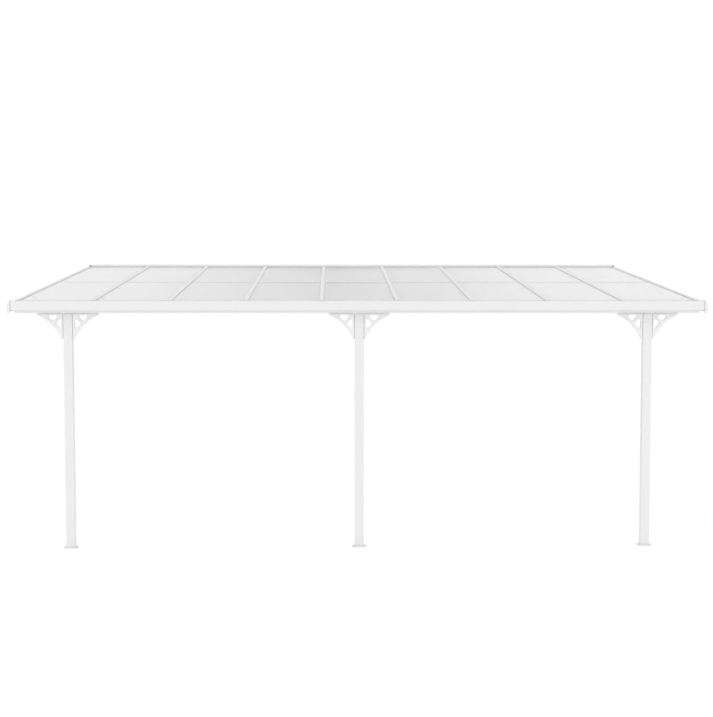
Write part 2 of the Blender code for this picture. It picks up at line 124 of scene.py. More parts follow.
class Value:
    """A number that varies over a surface; Python's operators add the Math nodes."""

    def __init__(self, surface: "NodeTree", socket: bpy.types.NodeSocket) -> None:
        """Keep the socket that gives the number and the tree that it belongs to."""
        self.surface = surface
        self.socket = socket

    def _math(self, operation: str, first: "Value | float", second: "Value | float") -> "Value":
        """Add one Math node and return its result."""
        node = self.surface.add("ShaderNodeMath", {"operation": operation}, {0: first, 1: second})
        return Value(self.surface, node.outputs[0])

    def __add__(self, other: "Value | float") -> "Value":
        """Return self + other."""
        return self._math("ADD", self, other)

    def __radd__(self, other: float) -> "Value":
        """Return other + self."""
        return self._math("ADD", other, self)

    def __sub__(self, other: "Value | float") -> "Value":
        """Return self - other."""
        return self._math("SUBTRACT", self, other)

    def __rsub__(self, other: float) -> "Value":
        """Return other - self."""
        return self._math("SUBTRACT", other, self)

    def __mul__(self, other: "Value | float") -> "Value":
        """Return self * other."""
        return self._math("MULTIPLY", self, other)

    def __rmul__(self, other: float) -> "Value":
        """Return other * self."""
        return self._math("MULTIPLY", other, self)

    def largest(self, other: "Value | float") -> "Value":
        """Return the larger of self and other."""
        return self._math("MAXIMUM", self, other)

    def clamped(self) -> "Value":
        """Return self held between 0 and 1."""
        return self._math("MINIMUM", self.largest(0.0), 1.0)


def swung(
    level: Value | float, noises: Sequence[Value], widths: Sequence[float], middle: float = 0.5
) -> Value:
    """Return a level that random noises swing.

    Args:
        level: The level to swing.
        noises: Random levels from 0 to 1.
        widths: How widely each of them swings it.
        middle: The noise that leaves it as it is.

    Returns:
        The level with every swing added.
    """
    for noise, width in zip(noises, widths):
        if width:
            level = level + (noise - middle) * width
    return level


@dataclass(frozen=True)
class Pattern:
    """Soft random patches on a finish, and how widely they swing its looks.

    Its scale is in patches per metre and its detail adds finer layers. Tone, roughness and cover
    are the widths of their swings; relief is the pattern's share in the finish's depth.
    """

    scale: float
    detail: float = 2.0
    stretch: Stretch = (1.0, 1.0, 1.0)
    tone: float = 0.0
    roughness: float = 0.0
    cover: float = 0.0
    relief: float = 0.0


Patterns = tuple[Pattern, ...]


class NodeTree:
    """The nodes of one material, or of the world."""

    def __init__(self, tree: bpy.types.NodeTree) -> None:
        """Start from an empty tree."""
        self.tree = tree
        self.tree.nodes.clear()

    def add(
        self,
        kind: str,
        settings: Mapping[str, Any] | None = None,
        inputs: Mapping[Any, Any] | None = None,
    ) -> bpy.types.Node:
        """Add a node, set it up and feed it.

        Args:
            kind: The node's type, such as ShaderNodeMath.
            settings: The node's own settings, set first; "stops" holds a ramp's places and levels.
            inputs: What feeds each socket, by name or number: a Value, a socket or a constant.

        Returns:
            The new node.
        """
        node = self.tree.nodes.new(kind)
        for name, setting in (settings or {}).items():
            if name == "stops":
                self._set_stops(node.color_ramp, setting)
            else:
                setattr(node, name, setting)
        for key, feed in (inputs or {}).items():
            if isinstance(feed, Value):
                self.tree.links.new(feed.socket, node.inputs[key])
            elif isinstance(feed, bpy.types.NodeSocket):
                self.tree.links.new(feed, node.inputs[key])
            else:
                node.inputs[key].default_value = feed
        return node

    @staticmethod
    def _set_stops(ramp: bpy.types.ColorRamp, stops: Stops) -> None:
        """Give a colour ramp its stops.

        Args:
            ramp: The ramp.
            stops: Its stops, as places and grey levels.
        """
        while len(ramp.elements) < len(stops):
            ramp.elements.new(1.0)
        for element, (place, level) in zip(ramp.elements, stops):
            element.position = place
            element.color = (level, level, level, 1.0)

    def position(self, stretch: Stretch = (1.0, 1.0, 1.0)) -> bpy.types.NodeSocket:
        """Return the place on the object in metres.

        Args:
            stretch: What each axis is multiplied by.

        Returns:
            The place, as a vector's socket.
        """
        place = self.add("ShaderNodeTexCoord").outputs["Object"]
        if stretch == (1.0, 1.0, 1.0):
            return place
        inputs = {0: place, 1: stretch}
        return self.add("ShaderNodeVectorMath", {"operation": "MULTIPLY"}, inputs).outputs[0]

    def out_from_wall(self) -> Value:
        """Return the place out from the wall in metres, 0 at the wall and less further out."""
        node = self.add("ShaderNodeSeparateXYZ", {}, {0: self.position()})
        return Value(self, node.outputs["Y"])

    def slant(self) -> Value:
        """Return how flat the surface is seen: 0 square on and 1 along it."""
        node = self.add("ShaderNodeLayerWeight", {}, {"Blend": 0.5})
        return Value(self, node.outputs["Facing"])

    def noise(self, pattern: Pattern) -> Value:
        """Return the level of a random pattern, from 0 to 1."""
        place = self.position(pattern.stretch)
        inputs = {"Vector": place, "Scale": pattern.scale, "Detail": pattern.detail}
        return Value(self, self.add("ShaderNodeTexNoise", {}, inputs).outputs["Fac"])

    def ramp(self, level: Value, stops: Stops) -> Value:
        """Return a level read through a ramp of places and levels."""
        node = self.add("ShaderNodeValToRGB", {"stops": stops}, {"Fac": level})
        return Value(self, node.outputs["Color"])

    def toned(self, colour: Colour, tone: Value) -> bpy.types.NodeSocket:
        """Return a colour made lighter or darker by a tone around 1."""
        inputs = {0: colour, "Scale": tone}
        return self.add("ShaderNodeVectorMath", {"operation": "SCALE"}, inputs).outputs[0]

    def bump(self, height: Value, depth: float) -> bpy.types.NodeSocket:
        """Return normals for a relief, from its level and its real depth in metres."""
        inputs = {"Height": height, "Distance": depth, "Strength": 1.0}
        return self.add("ShaderNodeBump", {}, inputs).outputs["Normal"]


@dataclass(frozen=True)
class Surface:
    """A finish: one Principled shader, whose looks random patterns swing.

    Its mottle is the unit of its patterns' tones, and its depth that of their relief, in metres.
    Its painted shade is how much darker its colour is made with each metre out from the wall,
    towards the eave. Its cover is the share of light that it stops at slants from 0, square on,
    to 1; without one it stops all.
    """

    name: str
    colour: Colour
    roughness: float
    patterns: Patterns
    mottle: float = 1.0
    depth: float = 0.0
    painted_shade: float = 0.0
    cover: Stops = ()

    def material(self) -> bpy.types.Material:
        """Return the finish as a material."""
        material = bpy.data.materials.new(self.name)
        material.use_nodes = True
        tree = NodeTree(material.node_tree)
        noises = [tree.noise(pattern) for pattern in self.patterns]
        shader = tree.add("ShaderNodeBsdfPrincipled", {}, self._feed(tree, noises))
        tree.add("ShaderNodeOutputMaterial", {}, {"Surface": shader.outputs[0]})
        return material

    def _feed(self, tree: NodeTree, noises: Sequence[Value]) -> dict[str, Any]:
        """Build the finish's nodes.

        Args:
            tree: The material's nodes.
            noises: The levels of the finish's patterns.

        Returns:
            What feeds each socket of the shader, by the socket's name.
        """
        tones = [pattern.tone * self.mottle for pattern in self.patterns]
        # Painted shade: the colour darkens with each metre out from the wall, towards the eave.
        shaded_tone = 1.0 + tree.out_from_wall() * self.painted_shade if self.painted_shade else 1.0
        feed = {
            "Base Color": tree.toned(self.colour, swung(shaded_tone, noises, tones)),
            "Roughness": swung(self.roughness, noises, [p.roughness for p in self.patterns]),
        }
        if self.depth:
            height = swung(0.0, noises, [p.relief for p in self.patterns], middle=0.0)
            feed["Normal"] = tree.bump(height, self.depth)
        if self.cover:
            share = swung(1.0, noises, [p.cover for p in self.patterns])
            cover = tree.ramp(tree.slant(), self.cover) * share
            feed |= {"Alpha": cover.clamped(), "IOR": SHEET_INDEX}
        return feed


@dataclass(frozen=True)
class PowderCoat(Surface):
    """Baked powder coat on metal: satin, with clouds, draw lines, orange peel and specks."""

    roughness: float = 0.40
    mottle: float = 0.012
    depth: float = 0.000022
    patterns: Patterns = (
        Pattern(scale=2.6, detail=3.0, tone=2.0, roughness=0.10),
        Pattern(scale=4.0, stretch=(1.4, 1.4, 22.0), tone=1.0),
        Pattern(scale=1.0 / 0.0014, detail=1.5, relief=1.0),
        Pattern(scale=2400.0, detail=1.0, roughness=0.05, relief=0.25),
    )


@dataclass(frozen=True)
class Moulding(Surface):
    """Injection-moulded plastic: matt, with faint flow clouds and a spark-eroded grain."""

    roughness: float = 0.52
    depth: float = 0.00003
    patterns: Patterns = (
        Pattern(scale=16.0, tone=0.03),
        Pattern(scale=1.0 / 0.0007, tone=0.02, roughness=0.12, relief=1.0),
    )


@dataclass(frozen=True)
class SheetSkin(Surface):
    """Skin of a twin-wall sheet: frosted plastic with lines down the flutes, haze and ripples."""

    roughness: float = 0.22
    depth: float = 0.00008
    patterns: Patterns = (
        Pattern(scale=42.0, detail=3.0, stretch=(1.0, 0.02, 0.02), tone=0.05, cover=0.16),
        Pattern(scale=3.0, detail=3.0, tone=0.03, roughness=0.10),
        Pattern(scale=190.0, detail=1.0, stretch=(1.0, 0.05, 0.05), relief=1.0),
    )


@dataclass(frozen=True)
class SheetRib(Surface):
    """Rib between a sheet's two skins: milky where light crosses it."""

    roughness: float = 0.34
    cover: Stops = ((0.0, 0.96), (1.0, 0.96))
    patterns: Patterns = (
        Pattern(scale=30.0, stretch=(1.0, 0.1, 0.1), tone=0.06, roughness=0.10, cover=0.0625),
    )


@dataclass(frozen=True)
class Rubber(Surface):
    """Extruded seal: matt, with a faint bloom and a fine grain."""

    roughness: float = 0.66
    depth: float = 0.00004
    patterns: Patterns = (
        Pattern(scale=60.0, detail=3.0, tone=0.16, roughness=0.14),
        Pattern(scale=1400.0, detail=1.0, relief=1.0),
    )


@dataclass(frozen=True)
class PlatedSteel(Surface):
    """Zinc-plated steel of screws and washers: mottled, and less metallic where it is dull."""

    roughness: float = 0.34
    depth: float = 0.00003
    shine: Stops = ((0.30, 0.82), (0.60, 1.0))
    patterns: Patterns = (
        Pattern(scale=320.0, detail=3.0, tone=0.22, relief=1.0),
        Pattern(scale=90.0, roughness=0.24),
    )

    def _feed(self, tree: NodeTree, noises: Sequence[Value]) -> dict[str, Any]:
        """Build the plating's nodes; the last pattern says how metallic it is."""
        return super()._feed(tree, noises) | {"Metallic": tree.ramp(noises[-1], self.shine)}


class Finish(Enum):
    """The cover's finishes."""

    FRAME_COAT = PowderCoat("frame_coat", grey(233))
    # Painted light: the beam's coat is the frame's powder coat made lighter, against the shade
    # under the gutter.
    BEAM_COAT_PAINTED_LIGHT = PowderCoat("beam_coat_painted_light", grey(242))
    # Painted shade: the rafters' coat is the frame's powder coat made darker, for their dimly lit
    # tops.
    ROOF_COAT = PowderCoat("rafter_coat_painted_shade", grey(221), roughness=0.46)
    WALL_COAT = PowderCoat("wall_profile_coat", grey(238), roughness=0.48)
    PLATE_COAT = PowderCoat("plate_coat", grey(231), roughness=0.46, mottle=0.02)
    MOULDING = Moulding("white_moulding", grey(236))
    CONNECTOR_MOULDING = Moulding("connector_moulding", grey(233), roughness=0.46)
    STRIP_MOULDING = Moulding("strip_moulding", grey(234), roughness=0.36)
    TRIM_MOULDING = Moulding("trim_moulding", grey(220), roughness=0.40)
    PLUG_MOULDING = Moulding("plug_moulding", grey(226))
    # Painted shade: dark grey for the shade at the hood's ends.
    HOOD_END_PAINTED_SHADE = Moulding("hood_end_painted_shade", grey(146))
    UPPER_SKIN = SheetSkin(
        "upper_skin", grey(254), cover=((0.0, 0.04), (0.55, 0.115), (0.88, 0.34))
    )
    # Painted shade: the lower skin's dark grey covers most where a sheet is seen along it, and
    # stands for the shade inside the flutes.
    LOWER_SKIN_PAINTED_SHADE = SheetSkin(
        "lower_skin_painted_shade", grey(105), painted_shade=0.1, cover=((0.0, 0.05), (0.55, 0.2375), (0.88, 0.80))
    )
    RIB = SheetRib("sheet_rib", grey(253))
    # Partly painted shade: real seals whose grey also paints the shade on the caps' sides and
    # beside the bars.
    CAP_SEAL_AND_SHADE = Rubber("cap_seal_and_shade", grey(186))
    # Partly painted shade: a real seal whose grey also paints the shade under the hood.
    HOOD_SEAL_AND_SHADE = Rubber("hood_seal_and_shade", grey(212))
    # Partly painted shade: a real bead whose dark grey also paints the shade in the gap at the
    # gutter's end cap.
    END_SEAL_AND_SHADE = Rubber("end_seal_and_shade", grey(138))
    STEEL = PlatedSteel("plated_steel", grey(240), roughness=0.42)
    SCREW_PAINT = PowderCoat("screw_paint", grey(236), roughness=0.5)

    @cache
    def material(self) -> bpy.types.Material:
        """Return this finish's material, made at its first use."""
        return self.value.material()


class Slot(Enum):
    """The record's material slots, named for new pieces; a piece's finish comes from its own list.
    """

    ROOF_COAT = "roof_coat"
    WALL_COAT = "wall_coat"
    MOULDING = "moulding"
    GLAZING = "glazing"
    FOOTING = "footing"


def put_in_scene(name: str, data: bpy.types.ID) -> bpy.types.Object:
    """Return a new object that shows a mesh, lamp or camera, linked to the scene."""
    made = bpy.data.objects.new(name, data)
    bpy.context.scene.collection.objects.link(made)
    return made


def along_wall(y: float, z: float, x: float) -> Vector:
    """Return the place of a point of an outline in y and z that is swept along the wall."""
    return Vector((x, y, z))


class Form:
    """A mesh under construction, in metres on the frame's axes."""

    def __init__(self) -> None:
        """Start with nothing."""
        self.mesh = bmesh.new()

    def sweep(self, outline: Outline, place: Placing, start: float, stop: float) -> "Form":
        """Add an outline swept straight from one distance to another.

        Args:
            outline: The corners, in order.
            place: Gives the place of a corner at a distance along the sweep.
            start: Where the sweep starts.
            stop: Where it ends.

        Returns:
            The form itself.
        """
        first, last = [
            [self.mesh.verts.new(place(a, b, along)) for a, b in outline] for along in (start, stop)
        ]
        self.mesh.faces.new(first)
        self.mesh.faces.new(last)
        for index in range(len(outline)):
            near = (index + 1) % len(outline)
            self.mesh.faces.new((first[index], first[near], last[near], last[index]))
        return self

    def turn(
        self, profile: Outline, foot: Vector, axis: Vector, sides: int, closed: bool = False
    ) -> None:
        """Add a turned solid.

        Args:
            profile: Radius and height of each point, from the foot up; radius 0 is a pole.
            foot: Where the axis starts.
            axis: The axis's direction.
            sides: Faces round the axis.
            closed: True for a ring, whose last point joins its first.
        """
        across = axis.orthogonal().normalized()
        beside = axis.cross(across).normalized()
        rings = []
        for radius, height in profile:
            centre = foot + axis * height
            count = sides if radius > 0.0 else 1
            angles = [math.tau * step / count for step in range(count)]
            arms = [across * math.cos(angle) + beside * math.sin(angle) for angle in angles]
            rings.append([self.mesh.verts.new(centre + arm * radius) for arm in arms])
        pairs = list(zip(rings, rings[1:]))
        if closed:
            pairs.append((rings[-1], rings[0]))
        for low, high in pairs:
            self._join_rings(low, high, sides)

    def _join_rings(self, low: Ring, high: Ring, sides: int) -> None:
        """Add the faces between two rings, either of which may be a pole.

        Args:
            low: The ring nearer the foot.
            high: The next ring.
            sides: Faces round the axis.
        """
        for step in range(sides):
            near = (step + 1) % sides
            corners = [low[step % len(low)], low[near % len(low)]]
            corners += [high[near % len(high)], high[step % len(high)]]
            self.mesh.faces.new(list(dict.fromkeys(corners)))

    def piece(
        self,
        name: str,
        finishes: Sequence[Finish],
        slot: Slot,
        stands_for: Sequence[str] = (),
        edge: float = 0.0,
        smooth: bool = False,
    ) -> None:
        """Turn the form into a finished piece that rides on the cover.

        Args:
            name: The piece's name.
            finishes: Its finishes, in the order of the faces' material numbers.
            slot: Not used.
            stands_for: The nodes that it replaces.
            edge: Width of the rounding on its edges in metres, or 0 for none.
            smooth: True if its faces are shaded smooth up to the edge angle.
        """
        bmesh.ops.recalc_face_normals(self.mesh, faces=self.mesh.faces[:])
        mesh = bpy.data.meshes.new(name)
        self.mesh.to_mesh(mesh)
        self.mesh.free()
        for finish in finishes:
            mesh.materials.append(finish.material())
        made = put_in_scene(name, mesh)
        if smooth or edge > 0.0:
            mesh.shade_smooth()
            mesh.set_sharp_from_angle(angle=SHARP_ANGLE)
        if edge > 0.0:
            round_edges(made, edge)
        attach(made, "root")
        if stands_for:
            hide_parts(*stands_for)
        log.info("%s: %d faces", name, len(mesh.polygons))


def round_edges(piece: bpy.types.Object, width: float, segments: int = 2) -> None:
    """Round a piece's sharp edges and keep its flat faces flat.

    Args:
        piece: The piece.
        width: Width of the rounding in metres.
        segments: Facets across the rounding.
    """
    bevel = piece.modifiers.new("rounded_edges", "BEVEL")
    bevel.width = width
    bevel.segments = segments
    bevel.limit_method = "ANGLE"
    bevel.angle_limit = SHARP_ANGLE
    bevel.use_clamp_overlap = True
    weighted = piece.modifiers.new("flat_faces", "WEIGHTED_NORMAL")
    weighted.keep_sharp = True
    weighted.weight = 100


@cache
def facet_cleaner() -> bpy.types.NodeTree:
    """Make the nodes that weld facets and shade round stretches smooth.

    Returns:
        The group of geometry nodes, the same one at each call.
    """
    group = bpy.data.node_groups.new("welded_facets", "GeometryNodeTree")
    for way in ("INPUT", "OUTPUT"):
        group.interface.new_socket("Geometry", in_out=way, socket_type="NodeSocketGeometry")
    tree = NodeTree(group)
    last = tree.add("NodeGroupInput").outputs[0]
    steps = [
        ("GeometryNodeRemoveAttribute", {"Name": "custom_normal"}),
        ("GeometryNodeMergeByDistance", {"Distance": WELD_REACH}),
        ("GeometryNodeSetShadeSmooth", {}),
    ]
    for kind, inputs in steps:
        last = tree.add(kind, {}, {"Geometry": last, **inputs}).outputs[0]
    angle = tree.add("GeometryNodeInputMeshEdgeAngle").outputs["Unsigned Angle"]
    bounds = {"A": angle, "B": SHARP_ANGLE}
    steep = tree.add("FunctionNodeCompare", {"operation": "GREATER_THAN"}, bounds)
    inputs = {"Geometry": last, "Selection": steep.outputs[0], "Shade Smooth": False}
    sharp = tree.add("GeometryNodeSetShadeSmooth", {"domain": "EDGE"}, inputs)
    tree.add("NodeGroupOutput", {}, {0: sharp.outputs[0]})
    return group


def dress(name: str, finish: Finish, edge: float, segments: int = 2) -> None:
    """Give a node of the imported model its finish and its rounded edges.

    Args:
        name: The node.
        finish: Its finish.
        edge: Width of the rounding on its edges in metres.
        segments: Facets across the rounding.
    """
    node = frame["nodes"][name]
    for slot in node.material_slots:
        slot.material = finish.material()
    cleaner = node.modifiers.new("welded_facets", "NODES")
    cleaner.node_group = facet_cleaner()
    planar = node.modifiers.new("merged_flats", "DECIMATE")
    planar.decimate_type = "DISSOLVE"
    planar.angle_limit = FLAT_ANGLE
    round_edges(node, edge, segments)
    log.info("%s: dressed in %s", name, finish.value.name)


@dataclass(frozen=True)
class RoofSlope:
    """The roof's sloping frame and the sizes that its pieces share."""

    pitch: float = math.radians(6.8)
    bay_count: int = 9
    bay_module: float = 0.740
    cap_width: float = 0.043
    cap_rise: float = 0.009
    cap_chamfer: float = 0.003
    web_width: float = 0.020
    body_width: float = 0.036
    rafter_depth: float = 0.055
    seat_bottom: float = -0.0113
    overhang: float = 0.018
    wall_room: float = 0.0043

    def eave(self) -> Vector:
        """Return the middle of the posts' front line, at the height of the sheets' top face."""
        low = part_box("rafter_01")[0]
        rise = self.rafter_depth * math.cos(self.pitch) + self.overhang * math.sin(self.pitch)
        return Vector((0.0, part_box("front_beam")[0].y, low.z + rise))

    def length(self) -> float:
        """Return the distance up the slope from the posts' front to the rafters' square ends."""
        run = -self.eave().y - self.wall_room - self.rafter_depth * math.sin(self.pitch)
        return run / math.cos(self.pitch)

    def rafter_lines(self) -> list[float]:
        """Return the rafters' middle lines along the wall."""
        count = self.bay_count
        return [(index - count / 2) * self.bay_module for index in range(count + 1)]

    def bay_lines(self) -> list[float]:
        """Return the bays' middle lines along the wall."""
        lines = self.rafter_lines()
        return [(left + right) / 2 for left, right in zip(lines, lines[1:])]

    def _placing(self) -> Placing:
        """Return the function that gives the place of a point at x, s and h on the slope."""
        eave, cos, sin = self.eave(), math.cos(self.pitch), math.sin(self.pitch)
        return lambda x, s, h: eave + Vector((x, s * cos - h * sin, s * sin + h * cos))

    def up_slope(self) -> Placing:
        """Return the placing of an outline in x and h that is swept up the slope."""
        place = self._placing()
        return lambda x, h, s: place(x, s, h)

    def across_slope(self) -> Placing:
        """Return the placing of an outline in s and h that is swept along the wall."""
        place = self._placing()
        return lambda s, h, x: place(x, s, h)


@dataclass
class Glazing:
    """Twin-wall sheets in each bay, the strips that join them and the trims along the eave."""

    slope: RoofSlope
    thickness: float = 0.008
    skin: float = 0.0006
    rib: float = 0.0005
    flute: float = 0.0105
    side_room: float = 0.003
    end_room: float = 0.006
    strip_reach: float = 0.011
    strip_leg: float = 0.0010
    strip_crest: float = 0.0018
    strip_web: float = 0.0012
    strip_side_room: float = 0.002
    joint_drop: float = 0.040
    trim_length: float = 0.025
    trim_proud: float = 0.003
    trim_leg: float = 0.0014
    trim_round: float = 0.0012

    def build(self) -> None:
        """Build the sheets, joint strips and eave trims of every bay."""
        for number, x in enumerate(self.slope.bay_lines(), start=1):
            self._sheets(number, x)
            self._joint_strip(number, x)
            self._eave_trim(number, x)

    def _end(self) -> float:
        """Return how far up the slope the sheets reach."""
        return self.slope.length() - self.end_room

    def _middle(self) -> float:
        """Return how far up the slope the two sheets of a bay meet."""
        return (self._end() - self.slope.overhang) / 2 - self.joint_drop

    def _strip(self, name: str, x: float, outline: Outline, finish: Finish) -> None:
        """Build a strip that lies across a bay, between two rafters' caps.

        Args:
            name: The strip's name.
            x: The bay's middle line.
            outline: Its corners in s and h.
            finish: Its finish.
        """
        run = (self.slope.bay_module - self.slope.cap_width) / 2 - self.strip_side_room
        form = Form().sweep(outline, self.slope.across_slope(), x - run, x + run)
        form.piece(name, [finish], Slot.GLAZING, edge=FINE_EDGE)

    def _sheets(self, number: int, x: float) -> None:
        """Build a bay's lower and upper sheets as one piece that stands for its panel.

        Args:
            number: The bay's number, from the left.
            x: Its middle line.
        """
        half = (self.slope.bay_module - self.slope.web_width) / 2 - self.side_room
        room = self.strip_web + GAP
        form = Form()
        self._twin_wall(form, x - half, x + half, -self.slope.overhang, self._middle() - room)
        self._twin_wall(form, x - half, x + half, self._middle() + room, self._end())
        finishes = [Finish.UPPER_SKIN, Finish.RIB, Finish.LOWER_SKIN_PAINTED_SHADE]
        form.piece(f"twin_wall_sheets_{number}", finishes, Slot.GLAZING, [f"roof_panel_{number}"])

    def _twin_wall(self, form: Form, left: float, right: float, low: float, high: float) -> None:
        """Add one twin-wall sheet: two skins, and ribs between them along open flutes.

        Args:
            form: The mesh that takes it.
            left: Its left edge in x.
            right: Its right edge in x.
            low: Its lower end in s.
            high: Its upper end in s.
        """
        flutes = round((right - left - self.rib) / self.flute)
        pitch = (right - left - self.rib) / flutes
        lines = [left + pitch * (k // 2) + self.rib * (k % 2) for k in range(2 * flutes + 2)]
        levels = [0.0, -self.skin, self.skin - self.thickness, -self.thickness]
        place = self.slope.up_slope()
        new = form.mesh.verts.new
        grid = [[[new(place(x, h, s)) for s in (low, high)] for h in levels] for x in lines]

        def face(corners: Sequence[tuple[int, int, int]], layer: int) -> None:
            """Add a face between corners of the grid, in one of the sheet's finishes."""
            made = form.mesh.faces.new([grid[i][j][k] for i, j, k in corners])
            made.material_index = layer

        last = len(lines) - 1
        for i in range(last):
            is_rib = i % 2 == 0
            for k in (0, 1):
                for j in (0, 1, 2) if is_rib else (0, 2):
                    face([(i, j, k), (i + 1, j, k), (i + 1, j + 1, k), (i, j + 1, k)], j)
            for j in (0, 3) if is_rib else (0, 1, 2, 3):
                face([(i, j, 0), (i + 1, j, 0), (i + 1, j, 1), (i, j, 1)], 2 * (j // 2))
            if not is_rib:
                for side in (i, i + 1):
                    face([(side, 1, 0), (side, 2, 0), (side, 2, 1), (side, 1, 1)], 1)
        for i in (0, last):
            for j in (0, 1, 2):
                face([(i, j, 0), (i, j + 1, 0), (i, j + 1, 1), (i, j, 1)], j)

    def _joint_strip(self, number: int, x: float) -> None:
        """Build the H-shaped strip that holds the ends of a bay's two sheets.

        Args:
            number: The bay's number, from the left.
            x: Its middle line.
        """
        reach, web, leg, crest = self.strip_reach, self.strip_web, self.strip_leg, self.strip_crest
        top, bottom, shoulder = GAP, -self.thickness - GAP, reach - leg / 2
        below = [
            (web, bottom), (reach, bottom),
            (shoulder, bottom - leg), (leg, -self.thickness - crest),
        ]
        above = [(reach, top), (shoulder, top + leg), (leg, crest)]
        lower = below + [(-s, h) for s, h in reversed(below)]
        upper = [(-web, top)] + [(-s, h) for s, h in above] + above[::-1] + [(web, top)]
        middle = self._middle()
        outline = [(middle + s, h) for s, h in lower + upper]
        self._strip(f"joint_strip_{number}", x, outline, Finish.STRIP_MOULDING)

    def _eave_trim(self, number: int, x: float) -> None:
        """Build the U-shaped trim that closes the lower sheet's flutes along the eave.

        Args:
            number: The bay's number, from the left.
            x: Its middle line.
        """
        start, under = -self.slope.overhang, -self.thickness - GAP
        front, inner, back = start - self.trim_proud, start - GAP, start + self.trim_length
        top, bottom = self.trim_proud, -self.thickness - self.trim_proud
        outline = [
            (back, GAP), (back, GAP + self.trim_leg), (front + self.trim_round, top),
            (front, top - self.trim_round), (front, bottom + self.trim_round),
            (front + self.trim_round, bottom), (back, under - self.trim_leg),
            (back, under), (inner, under), (inner, GAP),
        ]
        self._strip(f"eave_trim_{number}", x, outline, Finish.TRIM_MOULDING)


@dataclass
class Rafters:
    """Roof bars with their seals against the sheets and the plugs in their lower ends.

    A seal's section is given in shares of its width and height.
    """

    slope: RoofSlope
    edge: float = 0.0006
    seal_width: float = 0.0016
    # Tall enough that the seals also paint the shade on the caps' sides.
    seal_height: float = 0.0052
    seal_section: Outline = ((0.0, 0.0), (1.0, 0.0), (0.8, 0.5), (0.35, 0.9), (0.0, 1.0))
    seal_end_room: float = 0.006
    plug_thickness: float = 0.0022
    plug_edge: float = 0.0006

    def build(self) -> None:
        """Dress the rafters and add their seals and plugs."""
        lines = self.slope.rafter_lines()
        half_bay = self.slope.bay_module / 2
        for number, x in enumerate(lines, start=1):
            dress(f"rafter_{number:02d}", Finish.ROOF_COAT, self.edge)
            sides = [side for side, _ in SIDES if abs(x + side * half_bay) < lines[-1]]
            self._seals(number, x, sides)
            self._plug(number, x, sides)

    def _seals(self, number: int, x: float, sides: Sequence[int]) -> None:
        """Build the soft lips along a cap's edges, on the sides that hold a sheet; their grey and
        height also paint the shade on the caps' sides.

        Args:
            number: The rafter's number, from the left.
            x: Its middle line.
            sides: The sides of it that hold a sheet.
        """
        cap = self.slope.cap_width / 2 + GAP / 2
        width, height, floor = self.seal_width, self.seal_height, GAP / 3
        lip = [(cap + width * a, max(height * h, floor)) for a, h in self.seal_section]
        end = self.slope.length() - self.seal_end_room
        form = Form()
        for side in sides:
            outline = [(x + side * across, up) for across, up in lip]
            form.sweep(outline, self.slope.up_slope(), -self.slope.overhang, end)
        form.piece(f"cap_seal_and_shade_{number:02d}", [Finish.CAP_SEAL_AND_SHADE], Slot.ROOF_COAT, smooth=True)

    def _plug(self, number: int, x: float, sides: Sequence[int]) -> None:
        """Build the plate that closes a rafter's lower end, as wide as its cap where a sheet is.

        Args:
            number: The rafter's number, from the left.
            x: Its middle line.
            sides: The sides of it that hold a sheet.
        """
        slope = self.slope
        body = slope.body_width / 2
        rise, chamfer = slope.cap_rise, slope.cap_chamfer
        outline = []
        for side, _ in SIDES:
            top = slope.cap_width / 2 if side in sides else body
            half = [
                (body, -slope.rafter_depth), (body, slope.seat_bottom), (top, slope.seat_bottom),
                (top, rise - chamfer), (top - chamfer, rise),
            ]
            half = list(dict.fromkeys(half))
            outline += [(x + side * a, h) for a, h in (half if side < 0 else reversed(half))]
        stop = -slope.overhang - GAP
        form = Form().sweep(outline, slope.up_slope(), stop - self.plug_thickness, stop)
        name = f"rafter_plug_{number:02d}"
        form.piece(name, [Finish.PLUG_MOULDING], Slot.MOULDING, edge=self.plug_edge)


class ScrewHead(Enum):
    """Heads of screws: the profile of each turned solid, in shares of the radius, and its sides."""

    HEX = (
        ([(0.0, 0.0), (1.45, 0.0), (1.45, 0.10), (1.05, 0.28), (0.0, 0.28)], 24),
        ([(0.0, 0.24), (1.0, 0.24), (1.0, 1.0), (0.86, 1.12), (0.0, 1.12)], 6),
    )
    PAN = (
        ([(0.0, 0.0), (1.0, 0.0), (1.0, 0.22), (0.86, 0.44),
          (0.60, 0.58), (0.42, 0.60), (0.34, 0.34), (0.0, 0.28)], 20),
    )

    def add(self, form: Form, foot: Vector, axis: Vector, size: float) -> None:
        """Add a head to a mesh.

        Args:
            form: The mesh that takes it.
            foot: Middle of the face that it sits on.
            axis: The direction that it points away from that face.
            size: The head's radius in metres, across its corners where it is a hexagon.
        """
        for profile, sides in self.value:
            sized = [(radius * size, height * size) for radius, height in profile]
            form.turn(sized, foot, axis, sides)


